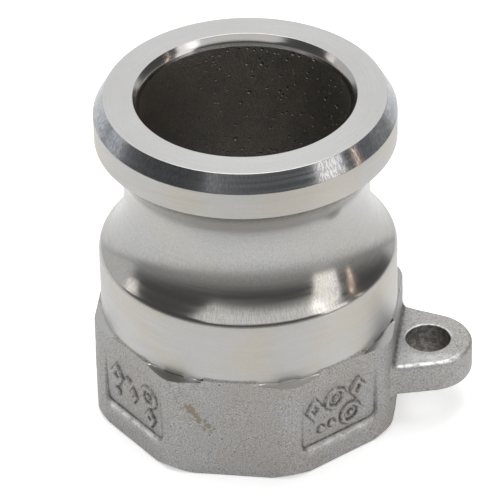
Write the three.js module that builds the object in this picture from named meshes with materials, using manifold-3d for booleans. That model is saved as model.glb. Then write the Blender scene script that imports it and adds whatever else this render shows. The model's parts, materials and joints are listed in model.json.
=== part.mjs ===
// Male half of a cam-and-groove hose coupling, size 1 1/2 inch (DN 40): a plug turned on one
// end of an investment casting, with a female pipe thread in its eight-sided base and a
// tether lug on one flat. The real thing is one piece of stainless steel, so it is one mesh.
//
// Millimetres, +Z up. The base stands on z = 0 and the lug points along +X. The origin is the
// middle of the footprint's bounding box, so the thread's axis stands a little to its left.

import * as THREE from 'three';
import { mergeVertices } from 'three/addons/utils/BufferGeometryUtils.js';
import Module from 'manifold-3d';

const wasm = await Module();
wasm.setup();

// Turned end, from the sealing face down.
const OVERALL_LENGTH = 63.8;
const HEAD_DIAMETER = 53.4;
const CHAMFER_WIDTH = 1.8;
const CHAMFER_HEIGHT = 3.1;
const HEAD_BAND_HEIGHT = 5;
const CAM_GROOVE_WIDTH = 22.9;
const CAM_GROOVE_RADIUS = 15.875;

// Eight-sided cast base.
const ACROSS_FLATS = 53.8;
const BASE_HEIGHT = 20.3;
const BASE_CORNER_RADIUS = 6;
const BASE_FACE_DIAMETER = 55.2;
const BAR_REACH = 32;
const SHOULDER_FILLET_RADIUS = 1.2;

// Waterway: a plain cast bore that ends in a turned mouth, rounded out to the sealing face.
const BORE_DIAMETER = 37;
const MOUTH_DIAMETER = 39;
const MOUTH_RADIUS = 4;

// Female parallel pipe thread, G 1 1/2: 11 turns per inch, 55 degree flanks.
const THREAD_PITCH = 25.4 / 11;
const THREAD_MAJOR_DIAMETER = 47.803;
const THREAD_MINOR_DIAMETER = 44.845;
const THREAD_FLANK_ANGLE = THREE.MathUtils.degToRad(27.5);
const THREAD_LENGTH = 19;
const THREAD_RELIEF_DIAMETER = 48.4;
const THREAD_RELIEF_HEIGHT = 2.5;
const THREAD_ENTRY_DIAMETER = 48.8;
const SEAT_INNER_DIAMETER = 41;
const SEAT_TAPER_HEIGHT = 3.5;

// Tether lug.
const LUG_REACH = 40.4;
const LUG_NOSE_RADIUS = 8;
const LUG_ROOT_HALF_WIDTH = 9.8;
const LUG_UNDERSIDE = 7;
const LUG_THICKNESS = 6.4;
const LUG_EDGE_BEVEL = 0.8;
const LUG_ROOT_FLARE = 1.4;
const LUG_HOLE_DIAMETER = 8;
const LUG_HOLE_BEVEL = 0.3;

// Sunk marking panels on the two flats beside the plain front flat.
const PANEL_WIDTH = 17;
const PANEL_HEIGHT = 12;
const PANEL_FOOT = 5.2;
const PANEL_DEPTH = 0.6;
const PANEL_CORNER_RADIUS = 1.5;
const PANEL_SHIFT_TO_FRONT = 0.6;

// Facets.
const ROUND_SEGMENTS = 48;
const ARC_DIVISIONS = 6;
const SMALL_ARC_DIVISIONS = 3;

// A cutting tool runs this far past the face that it opens.
const OVERRUN = 1;

const SIDES = 8;
const apothem = ACROSS_FLATS / 2;
const headRadius = HEAD_DIAMETER / 2;
const boreRadius = BORE_DIAMETER / 2;
const threadMinorRadius = THREAD_MINOR_DIAMETER / 2;
const threadMajorRadius = THREAD_MAJOR_DIAMETER / 2;
const lugHoleOffset = LUG_REACH - LUG_NOSE_RADIUS;
const axisX = (apothem - LUG_REACH) / 2;

// Shapes into solids

function toSolid(geometry) {
  const bare = geometry.clone();
  bare.deleteAttribute('normal');
  bare.deleteAttribute('uv');
  const welded = mergeVertices(bare);
  const corners = welded.index.array;
  const triVerts = [];
  for (let i = 0; i < corners.length; i += 3) {
    const [a, b, c] = corners.subarray(i, i + 3);
    const isCollapsed = a === b || b === c || c === a;
    if (!isCollapsed) triVerts.push(a, b, c);
  }
  return new wasm.Manifold(new wasm.Mesh({
    numProp: 3,
    vertProperties: welded.attributes.position.array,
    triVerts: Uint32Array.from(triVerts),
  }));
}

function toGeometry(solid) {
  const { vertProperties, triVerts } = solid.getMesh();
  const geometry = new THREE.BufferGeometry();
  geometry.setAttribute('position', new THREE.BufferAttribute(vertProperties, 3));
  geometry.setIndex(new THREE.BufferAttribute(triVerts, 1));
  geometry.computeVertexNormals();
  return geometry;
}

// A profile of (radius, height) points that starts and ends on the axis, turned about +Z.
function turn(profile, arcDivisions) {
  const geometry = new THREE.LatheGeometry(profile.getPoints(arcDivisions), ROUND_SEGMENTS);
  return toSolid(geometry.rotateX(Math.PI / 2));
}

function profileThrough(points) {
  return new THREE.Path(points.map(([radius, height]) => new THREE.Vector2(radius, height)));
}

// Eight-sided bar with round corners, taller than the finished piece.
function eightSidedBar() {
  const halfSide = Math.PI / SIDES;
  const cornerOffset = (apothem - BASE_CORNER_RADIUS) / Math.cos(halfSide);
  const outline = new THREE.Shape();
  for (let side = 0; side < SIDES; side += 1) {
    const angle = (2 * side + 1) * halfSide;
    outline.absarc(cornerOffset * Math.cos(angle), cornerOffset * Math.sin(angle),
      BASE_CORNER_RADIUS, angle - halfSide, angle + halfSide, false);
  }
  outline.closePath();
  const geometry = new THREE.ExtrudeGeometry(outline, {
    depth: OVERALL_LENGTH + 2 * OVERRUN,
    bevelEnabled: false,
    curveSegments: SMALL_ARC_DIVISIONS,
  });
  return toSolid(geometry.translate(0, 0, -OVERRUN));
}

// All that the lathe leaves of the outside, from the base up: a face whose 45 degree edge
// takes off the lower corners and just misses the flats, the shoulder, a fillet, the collar,
// the cam groove, the head band, the chamfer and the sealing face.
function turnedEnvelope() {
  const faceRadius = BASE_FACE_DIAMETER / 2;
  const collarFoot = BASE_HEIGHT + SHOULDER_FILLET_RADIUS;
  const filletCentre = headRadius + SHOULDER_FILLET_RADIUS;
  const chamferFoot = OVERALL_LENGTH - CHAMFER_HEIGHT;
  const grooveMiddle = chamferFoot - HEAD_BAND_HEIGHT - CAM_GROOVE_WIDTH / 2;
  const grooveHalfAngle = Math.asin(CAM_GROOVE_WIDTH / 2 / CAM_GROOVE_RADIUS);
  const grooveCentre = headRadius + CAM_GROOVE_RADIUS * Math.cos(grooveHalfAngle);

  const profile = profileThrough([
    [0, 0],
    [faceRadius, 0],
    [BAR_REACH, BAR_REACH - faceRadius],
    [BAR_REACH, BASE_HEIGHT],
  ]);
  profile.absarc(filletCentre, collarFoot, SHOULDER_FILLET_RADIUS,
    -Math.PI / 2, -Math.PI, true);
  profile.absarc(grooveCentre, grooveMiddle, CAM_GROOVE_RADIUS,
    Math.PI + grooveHalfAngle, Math.PI - grooveHalfAngle, true);
  profile.lineTo(headRadius, chamferFoot);
  profile.lineTo(headRadius - CHAMFER_WIDTH, OVERALL_LENGTH);
  profile.lineTo(0, OVERALL_LENGTH);
  return turn(profile, ARC_DIVISIONS);
}

// Flat tab with a round nose, tapering from a root as wide as the flat it grows from, and
// flared where it meets the flat.
function lugBlank() {
  const noseX = lugHoleOffset;
  const rootX = apothem;
  const toRoot = Math.hypot(noseX - rootX, LUG_ROOT_HALF_WIDTH);
  const tangentAngle = Math.atan2(LUG_ROOT_HALF_WIDTH, rootX - noseX)
    - Math.acos(LUG_NOSE_RADIUS / toRoot);
  const flareX = rootX + LUG_ROOT_FLARE;
  const flareHalfWidth = LUG_ROOT_HALF_WIDTH - LUG_ROOT_FLARE / Math.tan(tangentAngle);
  const rootEndX = rootX - LUG_ROOT_FLARE / 2;
  const rootEndHalfWidth = LUG_ROOT_HALF_WIDTH + LUG_ROOT_FLARE;
  const buriedX = apothem - BASE_CORNER_RADIUS;

  const outline = new THREE.Shape();
  outline.moveTo(buriedX, -rootEndHalfWidth);
  outline.lineTo(rootEndX, -rootEndHalfWidth);
  outline.quadraticCurveTo(rootX, -LUG_ROOT_HALF_WIDTH, flareX, -flareHalfWidth);
  outline.absarc(noseX, 0, LUG_NOSE_RADIUS, -tangentAngle, tangentAngle, false);
  outline.lineTo(flareX, flareHalfWidth);
  outline.quadraticCurveTo(rootX, LUG_ROOT_HALF_WIDTH, rootEndX, rootEndHalfWidth);
  outline.lineTo(buriedX, rootEndHalfWidth);
  outline.closePath();
  const geometry = new THREE.ExtrudeGeometry(outline, {
    depth: LUG_THICKNESS - 2 * LUG_EDGE_BEVEL,
    bevelThickness: LUG_EDGE_BEVEL,
    bevelSize: LUG_EDGE_BEVEL,
    bevelOffset: -LUG_EDGE_BEVEL,
    bevelSegments: 2,
    curveSegments: ARC_DIVISIONS,
  });
  geometry.translate(0, 0, LUG_UNDERSIDE + LUG_EDGE_BEVEL);
  return toSolid(geometry);
}

// What is cut away

function lugHole() {
  const radius = LUG_HOLE_DIAMETER / 2;
  const lugTop = LUG_UNDERSIDE + LUG_THICKNESS;
  const hole = turn(profileThrough([
    [0, LUG_UNDERSIDE - OVERRUN],
    [radius + LUG_HOLE_BEVEL + OVERRUN, LUG_UNDERSIDE - OVERRUN],
    [radius, LUG_UNDERSIDE + LUG_HOLE_BEVEL],
    [radius, lugTop - LUG_HOLE_BEVEL],
    [radius + LUG_HOLE_BEVEL + OVERRUN, lugTop + OVERRUN],
    [0, lugTop + OVERRUN],
  ]), SMALL_ARC_DIVISIONS);
  return hole.translate([lugHoleOffset, 0, 0]);
}

// From the base up: thread entry, tapping bore, thread relief, flat seat, cast taper, cast
// bore and the rounded mouth.
function waterway() {
  const entryRadius = THREAD_ENTRY_DIAMETER / 2;
  const reliefRadius = THREAD_RELIEF_DIAMETER / 2;
  const mouthRadius = MOUTH_DIAMETER / 2;
  const seatHeight = THREAD_LENGTH + THREAD_RELIEF_HEIGHT;
  const mouthAngle = Math.acos(1 - (mouthRadius - boreRadius) / MOUTH_RADIUS);
  const mouthFoot = OVERALL_LENGTH - MOUTH_RADIUS * Math.sin(mouthAngle);
  const profile = profileThrough([
    [0, -OVERRUN],
    [entryRadius + OVERRUN, -OVERRUN],
    [threadMinorRadius, entryRadius - threadMinorRadius],
    [threadMinorRadius, THREAD_LENGTH],
    [reliefRadius, THREAD_LENGTH],
    [reliefRadius, seatHeight],
    [SEAT_INNER_DIAMETER / 2, seatHeight],
    [boreRadius, seatHeight + SEAT_TAPER_HEIGHT],
  ]);
  profile.absarc(boreRadius + MOUTH_RADIUS, mouthFoot, MOUTH_RADIUS,
    Math.PI, Math.PI - mouthAngle, true);
  profile.lineTo(mouthRadius, OVERALL_LENGTH + OVERRUN);
  profile.lineTo(0, OVERALL_LENGTH + OVERRUN);
  return turn(profile, SMALL_ARC_DIVISIONS);
}

// The male screw that fills the thread, from below the base face to inside the relief. Its
// surface is a stack of helical lines, four to each pitch. Column 0 holds one more turn of
// them than the others, because a line that has gone once round arrives at column 0 as the
// line one pitch above.
function threadScrew() {
  const flank = (threadMajorRadius - threadMinorRadius) * Math.tan(THREAD_FLANK_ANGLE);
  const crest = THREAD_PITCH / 2 - flank;
  const linesPerPitch = [
    [threadMajorRadius, 0],
    [threadMajorRadius, crest],
    [threadMinorRadius, crest + flank],
    [threadMinorRadius, 2 * crest + flank],
  ];
  const lineCount = linesPerPitch.length;
  const start = -THREAD_PITCH - OVERRUN;
  const turns = Math.floor((THREAD_LENGTH - start) / THREAD_PITCH);
  const topLine = turns * lineCount;

  const points = [];
  const firstOfColumn = [];
  for (let column = 0; column < ROUND_SEGMENTS; column += 1) {
    firstOfColumn.push(points.length / 3);
    const share = column / ROUND_SEGMENTS;
    const angle = share * 2 * Math.PI;
    const lastLine = column === 0 ? topLine + lineCount : topLine;
    for (let line = 0; line <= lastLine; line += 1) {
      const [radius, rise] = linesPerPitch[line % lineCount];
      const pitches = Math.floor(line / lineCount) + share;
      points.push(radius * Math.cos(angle), radius * Math.sin(angle),
        start + pitches * THREAD_PITCH + rise);
    }
  }
  const at = (column, line) => (column < ROUND_SEGMENTS
    ? firstOfColumn[column] + line
    : line + lineCount);

  const bottomCentre = points.length / 3;
  points.push(0, 0, start);
  const topCentre = bottomCentre + 1;
  points.push(0, 0, start + (turns + 1) * THREAD_PITCH);

  const triangles = [];
  for (let column = 0; column < ROUND_SEGMENTS; column += 1) {
    for (let line = 0; line < topLine; line += 1) {
      const low = at(column, line);
      const lowNext = at(column + 1, line);
      const high = at(column, line + 1);
      const highNext = at(column + 1, line + 1);
      triangles.push(low, lowNext, highNext, low, highNext, high);
    }
    triangles.push(bottomCentre, at(column + 1, 0), at(column, 0));
    triangles.push(topCentre, at(column, topLine), at(column + 1, topLine));
  }
  for (let line = 0; line < lineCount; line += 1) {
    triangles.push(bottomCentre, at(0, line), at(0, line + 1));
    triangles.push(topCentre, at(0, topLine + line + 1), at(0, topLine + line));
  }

  const geometry = new THREE.BufferGeometry();
  geometry.setAttribute('position', new THREE.Float32BufferAttribute(points, 3));
  geometry.setIndex(triangles);
  return toSolid(geometry);
}

// A shallow pocket in the flat that faces angle, moved sideways along the flat by shift.
function markingPanel(angle, shift) {
  const left = shift - PANEL_WIDTH / 2;
  const right = shift + PANEL_WIDTH / 2;
  const foot = PANEL_FOOT;
  const head = PANEL_FOOT + PANEL_HEIGHT;
  const round = PANEL_CORNER_RADIUS;
  const quarter = Math.PI / 2;
  const outline = new THREE.Shape();
  outline.absarc(right - round, foot + round, round, -quarter, 0, false);
  outline.absarc(right - round, head - round, round, 0, quarter, false);
  outline.absarc(left + round, head - round, round, quarter, 2 * quarter, false);
  outline.absarc(left + round, foot + round, round, 2 * quarter, 3 * quarter, false);
  outline.closePath();
  const geometry = new THREE.ExtrudeGeometry(outline, {
    depth: 2 * PANEL_DEPTH,
    bevelEnabled: false,
    curveSegments: SMALL_ARC_DIVISIONS,
  });
  geometry.rotateX(quarter);
  geometry.rotateZ(quarter);
  geometry.translate(apothem - PANEL_DEPTH, 0, 0);
  geometry.rotateZ(angle);
  return toSolid(geometry);
}

// The finished piece

function adapterBody() {
  const frontFlat = -Math.PI / 2;
  const nextFlat = 2 * Math.PI / SIDES;
  const body = eightSidedBar()
    .intersect(turnedEnvelope())
    .add(lugBlank())
    .subtract(lugHole())
    .subtract(waterway())
    .subtract(threadScrew())
    .subtract(markingPanel(frontFlat - nextFlat, PANEL_SHIFT_TO_FRONT))
    .subtract(markingPanel(frontFlat + nextFlat, -PANEL_SHIFT_TO_FRONT));
  const stainless = new THREE.MeshStandardMaterial({
    color: 0xb3b0aa,
    roughness: 0.38,
    metalness: 1,
  });
  const mesh = new THREE.Mesh(toGeometry(body), stainless);
  mesh.name = 'adapter_body';
  mesh.position.x = axisX;
  return mesh;
}

const coupling = new THREE.Group();
coupling.add(adapterBody());

export default coupling;
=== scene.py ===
"""Looks of the male half of a 1 1/2 inch cam and groove hose coupling.

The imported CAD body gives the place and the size. The script builds a finer mesh of the same solid and
gives it the finishes of the real piece: a blasted casting with a tether lug, a satin turned collar and
cam groove, a brighter chamfer and mouth, a raw cast bore and a cut pipe thread.

Lengths are millimetres from the thread's axis and the base face. to_object() turns them into metres in
the frame of the CAD.
"""

import json
import math

import bpy
import numpy as np
from mathutils import Matrix, Vector, noise

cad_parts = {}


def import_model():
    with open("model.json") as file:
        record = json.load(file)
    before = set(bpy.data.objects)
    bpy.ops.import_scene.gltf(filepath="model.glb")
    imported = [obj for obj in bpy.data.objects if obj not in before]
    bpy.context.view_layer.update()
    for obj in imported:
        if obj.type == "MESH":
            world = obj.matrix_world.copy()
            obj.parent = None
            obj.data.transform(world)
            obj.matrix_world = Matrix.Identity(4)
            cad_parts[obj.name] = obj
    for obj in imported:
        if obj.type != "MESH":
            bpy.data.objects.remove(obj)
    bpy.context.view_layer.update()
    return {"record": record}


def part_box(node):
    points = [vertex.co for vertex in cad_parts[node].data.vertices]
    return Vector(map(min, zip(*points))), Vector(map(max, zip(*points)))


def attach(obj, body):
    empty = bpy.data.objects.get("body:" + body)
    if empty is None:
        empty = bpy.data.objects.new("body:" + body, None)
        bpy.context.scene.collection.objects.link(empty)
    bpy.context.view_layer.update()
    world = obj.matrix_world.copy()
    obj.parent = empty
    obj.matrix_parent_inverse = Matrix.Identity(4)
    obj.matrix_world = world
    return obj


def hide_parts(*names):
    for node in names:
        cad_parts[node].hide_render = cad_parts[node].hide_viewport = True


MM = 0.001
NODE = "adapter_body"

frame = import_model()
mounts = {mount["name"]: mount for mount in frame["record"]["mounts"]}
node_low, node_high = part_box(NODE)

# Sizes read from the frame.
APOTHEM = node_high.y / MM
AXIS_X = node_low.x / MM + APOTHEM
LENGTH = node_high.z / MM
LUG_REACH = node_high.x / MM - AXIS_X
LUG_TOP = mounts["lug_top"]["pos_m"][2] / MM
LUG_UNDERSIDE = mounts["lug_underside"]["pos_m"][2] / MM

# Turned end.
HEAD_RADIUS = 26.7
CHAMFER_WIDTH = 1.8
CHAMFER_HEIGHT = 3.1
HEAD_BAND_HEIGHT = 5
CAM_GROOVE_WIDTH = 22.9
CAM_GROOVE_RADIUS = 15.875
WORN_EDGE = 0.08
GROOVE_FOOT = LENGTH - CHAMFER_HEIGHT - HEAD_BAND_HEIGHT - CAM_GROOVE_WIDTH
GROOVE_FOOT_WORN_EDGE = 0.75

# Cast base.
SIDES = 8
BASE_HEIGHT = 20.3
BASE_CORNER_RADIUS = 6
BASE_FACE_RADIUS = 27.6
BASE_EDGE_BREAK = 0.25
SHOULDER_FILLET_RADIUS = 0.9
CORNER_FILLET_RADIUS = 0.1
SHOULDER_SLOPE = math.tan(math.radians(11))
SMALLEST_LEDGE = 0.02
CAST_LUMPS = 0.09
CAST_LUMP_SIZE = 5
FINE_CAST_LUMPS = 0.35 * CAST_LUMPS
FINE_CAST_LUMP_SIZE = CAST_LUMP_SIZE / 4

# The shoulder is as cast this far to either side of each flat's middle, and cut by the lathe beyond.
CAST_SHOULDER_ANGLE = math.radians(11)
CAST_SHOULDER_FADE = math.radians(3)

# Waterway and thread.
BORE_RADIUS = 18.5
BORE_LUMPS = 0.12
BORE_LUMP_SIZE = 1.6
BORE_FADE_AT_MOUTH = 1.5
BORE_FADE_AT_SEAT = 1.0
MOUTH_OPENING_RADIUS = 19.7
MOUTH_LIP_RADIUS = 18.8
MOUTH_CONE_HEIGHT = 1.15
MOUTH_TAPER_HEIGHT = 0.85
MOUTH_FOOT = LENGTH - MOUTH_CONE_HEIGHT - MOUTH_TAPER_HEIGHT
THREAD_PITCH = 25.4 / 11
THREAD_MAJOR_RADIUS = 47.803 / 2
THREAD_MINOR_RADIUS = 44.845 / 2
THREAD_FLANK_ANGLE = math.radians(27.5)
THREAD_LENGTH = 19
RELIEF_RADIUS = 24.2
SEAT_HEIGHT = 21.5
SEAT_INNER_RADIUS = 20.5
SEAT_TAPER_HEIGHT = 3.5
ENTRY_RADIUS = 24.4

# Tether lug.
LUG_NOSE_RADIUS = 8
LUG_ROOT_HALF_WIDTH = 9.8
LUG_ROOT_FLARE = 1.4
LUG_EDGE_RADIUS = 0.9
LUG_ROOT_FILLET = 0.8
LUG_HOLE_RADIUS = 4
LUG_HOLE_EDGE_RADIUS = 0.25
LUG_BURIED = 1.5
LUG_LUMPS = 0.7 * CAST_LUMPS
LUG_FINE_LUMP_SIZE = 1.2

# Sunk marking panels, on the two flats beside the plain front flat and shifted towards it.
PANEL_WIDTH = 17
PANEL_HEIGHT = 12
PANEL_FOOT = 5.2
PANEL_DEPTH = 0.6
PANEL_CORNER_RADIUS = 1.5
PANEL_SHIFT = 0.6
PANEL_WALL = 0.3
PANEL_DEPTH_SHARE_AT_HEAD = 0.15
PANEL_BURR_HEIGHT = 0.28
PANEL_BURR_HALF_WIDTH = 0.3
PANEL_BURR_END_GAP = 0.6
PANEL_BURR_END_FADE = 1.5

# Raised marks in the panels.
MARK_HEIGHT = 0.5
MARK_WALL = 0.26
MARK_RAGGEDNESS = 0.12
TARGET_RING_HALF_WIDTH = 0.38
TARGET_DOT_RADIUS = 0.5
LOZENGE_SLENDERNESS = 1.5
LOZENGE_STEEPNESS = 1.8
LOZENGE_LINE_HALF_WIDTH = 0.42

# Painted shade and dirt beside panel walls and marks, in the lug's hole and along its root, and painted
# highlights with polish on edges.
SHADE_AND_GRIME_REACH = 0.22
LUG_SHADE_AND_GRIME = 0.75

# Mesh fineness.
TURNED_COLUMNS = 256
FINE_STEP = 0.21
COARSE_STEP = 0.55
CORNER_STEPS = 11
THREAD_COLUMNS = 144
THREAD_CLEARANCE = 0.02
SCREW_OVERRUN = 1
LUG_COLUMNS = 180
LUG_NOSE_STEPS = 60
LUG_FLARE_STEPS = 12
LUG_CORNER_STEPS = 5
LUG_SIDE_STEPS = 8
LUG_HOLE_STEPS = 9
LUG_FACE_STEPS = 16
SHARP_ANGLE = math.radians(32)
SMALLEST_WORN_TURN = 0.6 * SHARP_ANGLE
WORN_CORNER_STEPS = 4

# Rings this many worn edges away from a corner keep the surfaces beside it straight.
HOLDING_REACH = 1.5

# Heights above the shoulder's fillet of two rings that keep its shading off the collar.
COLLAR_RINGS = (0.1, 0.3)

FINISHES = ("blasted_cast", "shoulder_cut", "satin_turned", "groove_turned", "chamfer_turned",
            "mouth_turned", "faced", "raw_cast", "cut_thread")


# Small geometry helpers

def direction(angle):
    """Unit vector in the ground plane."""
    return np.array([math.cos(angle), math.sin(angle)])


def smooth(share):
    """0 below 0, 1 above 1, with a soft S between."""
    share = np.clip(share, 0, 1)
    return share * share * (3 - 2 * share)


def lumps(points, size, seed):
    """Smooth noise between about -1 and 1, with lumps about size across."""
    shift = Vector((seed * 17.1, seed * 5.3, seed * 9.7))
    return np.array([noise.noise(Vector(point) / size + shift) for point in points])


def arc(centre, radius, start, end, steps):
    """Points of an arc in the (radius, height) plane, angles in radians."""
    angles = np.linspace(start, end, steps + 1)
    return [(centre[0] + radius * math.cos(a), centre[1] + radius * math.sin(a)) for a in angles]


def line(start, end, steps):
    """Points of a straight stretch."""
    return [tuple(point) for point in np.linspace(start, end, steps + 1)]


def to_object(name, points, faces, finishes):
    """A mesh object in the CAD's frame, with one number from FINISHES for each face."""
    mesh = bpy.data.meshes.new(name)
    for finish in FINISHES:
        mesh.materials.append(bpy.data.materials[finish])
    placed = (np.asarray(points, float) + (AXIS_X, 0, 0)) * MM
    mesh.from_pydata(placed.tolist(), [], faces)
    mesh.polygons.foreach_set("material_index", finishes)
    piece = bpy.data.objects.new(name, mesh)
    bpy.context.scene.collection.objects.link(piece)
    return piece


class RingSkin:
    """A closed surface through a loop of rings, each running anticlockwise. The loop climbs the
    outside walls, which turns the faces outwards."""

    def __init__(self):
        self.rings = []
        self.finishes = []

    def add(self, points, finish):
        """One more ring. finish covers the band between it and the ring before it: one name, or a
        name for each point."""
        names = [finish] * len(points) if isinstance(finish, str) else finish
        self.rings.append(np.asarray(points, float))
        self.finishes.append([FINISHES.index(name) for name in names])

    def build(self, name):
        """The finished surface as a mesh object."""
        firsts = np.cumsum([0] + [len(ring) for ring in self.rings])
        faces, face_finishes = [], []
        for index, ring in enumerate(self.rings):
            before = self.rings[index - 1]
            first_before = firsts[index - 1] if index else firsts[len(self.rings) - 1]
            if len(before) == len(ring):
                band = quad_band(first_before, firsts[index], len(ring))
            else:
                band = zip_band(before, ring, first_before, firsts[index])
            faces.extend(band)
            finish = self.finishes[index]
            face_finishes.extend(finish if len(finish) == len(band) else finish[:1] * len(band))
        return to_object(name, np.concatenate(self.rings), faces, face_finishes)


def quad_band(lower, upper, count):
    """Quads between two rings with as many points each."""
    return [
        (lower + i, lower + (i + 1) % count, upper + (i + 1) % count, upper + i)
        for i in range(count)
    ]


def zip_band(lower_ring, upper_ring, lower, upper):
    """Triangles between two rings with different numbers of points, by angle round the axis."""
    counts = len(lower_ring), len(upper_ring)
    turns = []
    for ring in (lower_ring, upper_ring):
        angles = np.unwrap(np.arctan2(ring[:, 1], ring[:, 0]))
        turns.append(np.append(angles, angles[0] + 2 * math.pi))
    offset = round((turns[1][0] - turns[0][0]) / (2 * math.pi)) * 2 * math.pi
    turns[1] = turns[1] - offset
    faces = []
    i = j = 0
    while i < counts[0] or j < counts[1]:
        a = lower + i % counts[0]
        b = upper + j % counts[1]
        if j == counts[1] or (i < counts[0] and turns[0][i + 1] <= turns[1][j + 1]):
            i += 1
            faces.append((a, lower + i % counts[0], b))
        else:
            j += 1
            faces.append((a, upper + j % counts[1], b))
    return faces


# Cast base

def base_columns():
    """Places round the eight-sided base, and the outward normal angle at each."""
    half_side = math.pi / SIDES
    straight = (APOTHEM - BASE_CORNER_RADIUS) * math.tan(half_side)
    corner_offset = (APOTHEM - BASE_CORNER_RADIUS) / math.cos(half_side)
    places, normals = [], []
    for side in range(SIDES):
        angle = 2 * half_side * side
        step = FINE_STEP if side in PANEL_SIDES else COARSE_STEP
        for along in np.linspace(-straight, straight, round(2 * straight / step), endpoint=False):
            places.append(APOTHEM * direction(angle) + along * direction(angle + math.pi / 2))
            normals.append(angle)
        for turn in np.linspace(0, 2 * half_side, CORNER_STEPS, endpoint=False):
            centre = corner_offset * direction(angle + half_side)
            places.append(centre + BASE_CORNER_RADIUS * direction(angle + turn))
            normals.append(angle + turn)
    return np.array(places), np.array(normals)


def target_mark(along, height, size):
    """A ring with a dot in it."""
    from_middle = np.hypot(along, height)
    ring = np.abs(from_middle - size) - TARGET_RING_HALF_WIDTH
    return np.minimum(ring, from_middle - TARGET_DOT_RADIUS)


def dot_mark(along, height, size):
    """A plain dot."""
    return np.hypot(along, height) - size


def lozenge_mark(along, height, size):
    """A hollow lozenge, taller than it is wide. The steepness brings its distance to millimetres."""
    outline = (np.abs(along) * LOZENGE_SLENDERNESS + np.abs(height) - size) / LOZENGE_STEEPNESS
    return np.abs(outline + LOZENGE_LINE_HALF_WIDTH) - LOZENGE_LINE_HALF_WIDTH


# Raised marks: shape, place along the flat from the panel's middle, height above its foot, size.
LEFT_MARKS = (
    (lozenge_mark, -4.7, 7.6, 2.6),
    (dot_mark, -4.9, 3.8, 0.7),
    (dot_mark, -1.4, 8.2, 0.55),
    (lozenge_mark, 0.0, 5.6, 1.7),
    (target_mark, 4.7, 8.0, 1.8),
    (lozenge_mark, 4.8, 3.4, 2.2),
)
RIGHT_MARKS = (
    (lozenge_mark, -5.6, 8.0, 2.7),
    (target_mark, -0.9, 8.4, 1.9),
    (lozenge_mark, 4.0, 8.6, 2.6),
    (dot_mark, -4.0, 3.0, 0.7),
    (dot_mark, -1.6, 3.2, 0.7),
    (target_mark, 2.6, 3.6, 1.9),
)
PANEL_SIDES = (5, 7)
PANELS = (
    (math.radians(-135), PANEL_SHIFT, LEFT_MARKS),
    (math.radians(-45), -PANEL_SHIFT, RIGHT_MARKS),
)


def panel_edge_distance(along, height):
    """Distance outside a panel's outline, negative inside it, from along its middle and its foot."""
    across = np.abs(along) - PANEL_WIDTH / 2 + PANEL_CORNER_RADIUS
    up = np.abs(height - PANEL_HEIGHT / 2) - PANEL_HEIGHT / 2 + PANEL_CORNER_RADIUS
    outside = np.hypot(np.maximum(across, 0), np.maximum(up, 0))
    return outside + np.minimum(np.maximum(across, up), 0) - PANEL_CORNER_RADIUS


def mark_distance(along, height, marks):
    """Distance outside the nearest raised mark, negative on it."""
    nearest = np.full(np.shape(along), np.inf)
    for shape, mark_along, mark_height, size in marks:
        nearest = np.minimum(nearest, shape(along - mark_along, height - mark_height, size))
    return nearest


def raggedness(along, height):
    """Waviness of the marks' outlines, from two crossing waves."""
    return MARK_RAGGEDNESS * np.sin(along * 2.9 + 1.3 * height) * np.sin(height * 3.7 - 0.8 * along)


def panel_depth(along, height, marks):
    """How far the surface lies below the flat."""
    rise = np.clip(height / PANEL_HEIGHT, 0, 1)
    depth = PANEL_DEPTH * (1 - (1 - PANEL_DEPTH_SHARE_AT_HEAD) * rise)
    sunk = depth * smooth(0.5 - panel_edge_distance(along, height) / PANEL_WALL)
    from_mark = mark_distance(along, height, marks) + raggedness(along, height)
    raised = MARK_HEIGHT * smooth(0.5 - from_mark / MARK_WALL)
    return sunk - raised * smooth(sunk / depth) - PANEL_BURR_HEIGHT * burr_share(along, height)


def burr_share(along, height):
    """1 on the crest of the burr that the wax tool left along a panel's foot, 0 beside it."""
    across = smooth(1 - np.abs(height + PANEL_BURR_HALF_WIDTH) / (2 * PANEL_BURR_HALF_WIDTH))
    ends = smooth((PANEL_WIDTH / 2 - PANEL_BURR_END_GAP - np.abs(along)) / PANEL_BURR_END_FADE)
    return across * ends * (0.8 + 0.2 * np.sin(1.7 * along))


def base_ring(places, normals, heights):
    """One ring of the base's side, with its panels. Its unevenness only stands back from the flats."""
    heights = np.broadcast_to(heights, len(places))
    points = np.column_stack([places, heights])
    uneven = CAST_LUMPS * lumps(points, CAST_LUMP_SIZE, 1)
    uneven += FINE_CAST_LUMPS * lumps(points, FINE_CAST_LUMP_SIZE, 2)
    inward = np.minimum(uneven - CAST_LUMPS / 2, 0)
    points[:, 0] += inward * np.cos(normals)
    points[:, 1] += inward * np.sin(normals)
    for angle, shift, marks in PANELS:
        out = direction(angle)
        side = direction(angle + math.pi / 2)
        along = places @ side
        depth = panel_depth(along - shift, heights - PANEL_FOOT, marks)
        reach = points[:, :2] @ out
        sunk_reach = np.where(depth > 0, np.minimum(reach, APOTHEM - depth), reach - depth)
        facing = places @ out > 0
        points[:, :2] += np.outer(np.where(facing, sunk_reach - reach, 0), out)
    return points


def shoulder_at(distance, fillet):
    """(radius, height) at a distance out from the collar's foot, over the fillet and the shoulder."""
    quarter = fillet * math.pi / 2
    turn = np.minimum(distance, quarter) / fillet
    flat = np.maximum(distance - quarter, 0)
    radius = HEAD_RADIUS + fillet * (1 - np.cos(turn)) + flat
    height = BASE_HEIGHT + fillet * (1 - np.sin(turn)) - flat * SHOULDER_SLOPE
    return radius, height


def shoulder_distance(radius, fillet):
    """Inverse of shoulder_at, from the radius."""
    over = np.maximum(radius - HEAD_RADIUS, SMALLEST_LEDGE)
    turn = np.arccos(np.clip(1 - over / fillet, 0, 1))
    return fillet * turn + np.maximum(over - fillet, 0)


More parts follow.
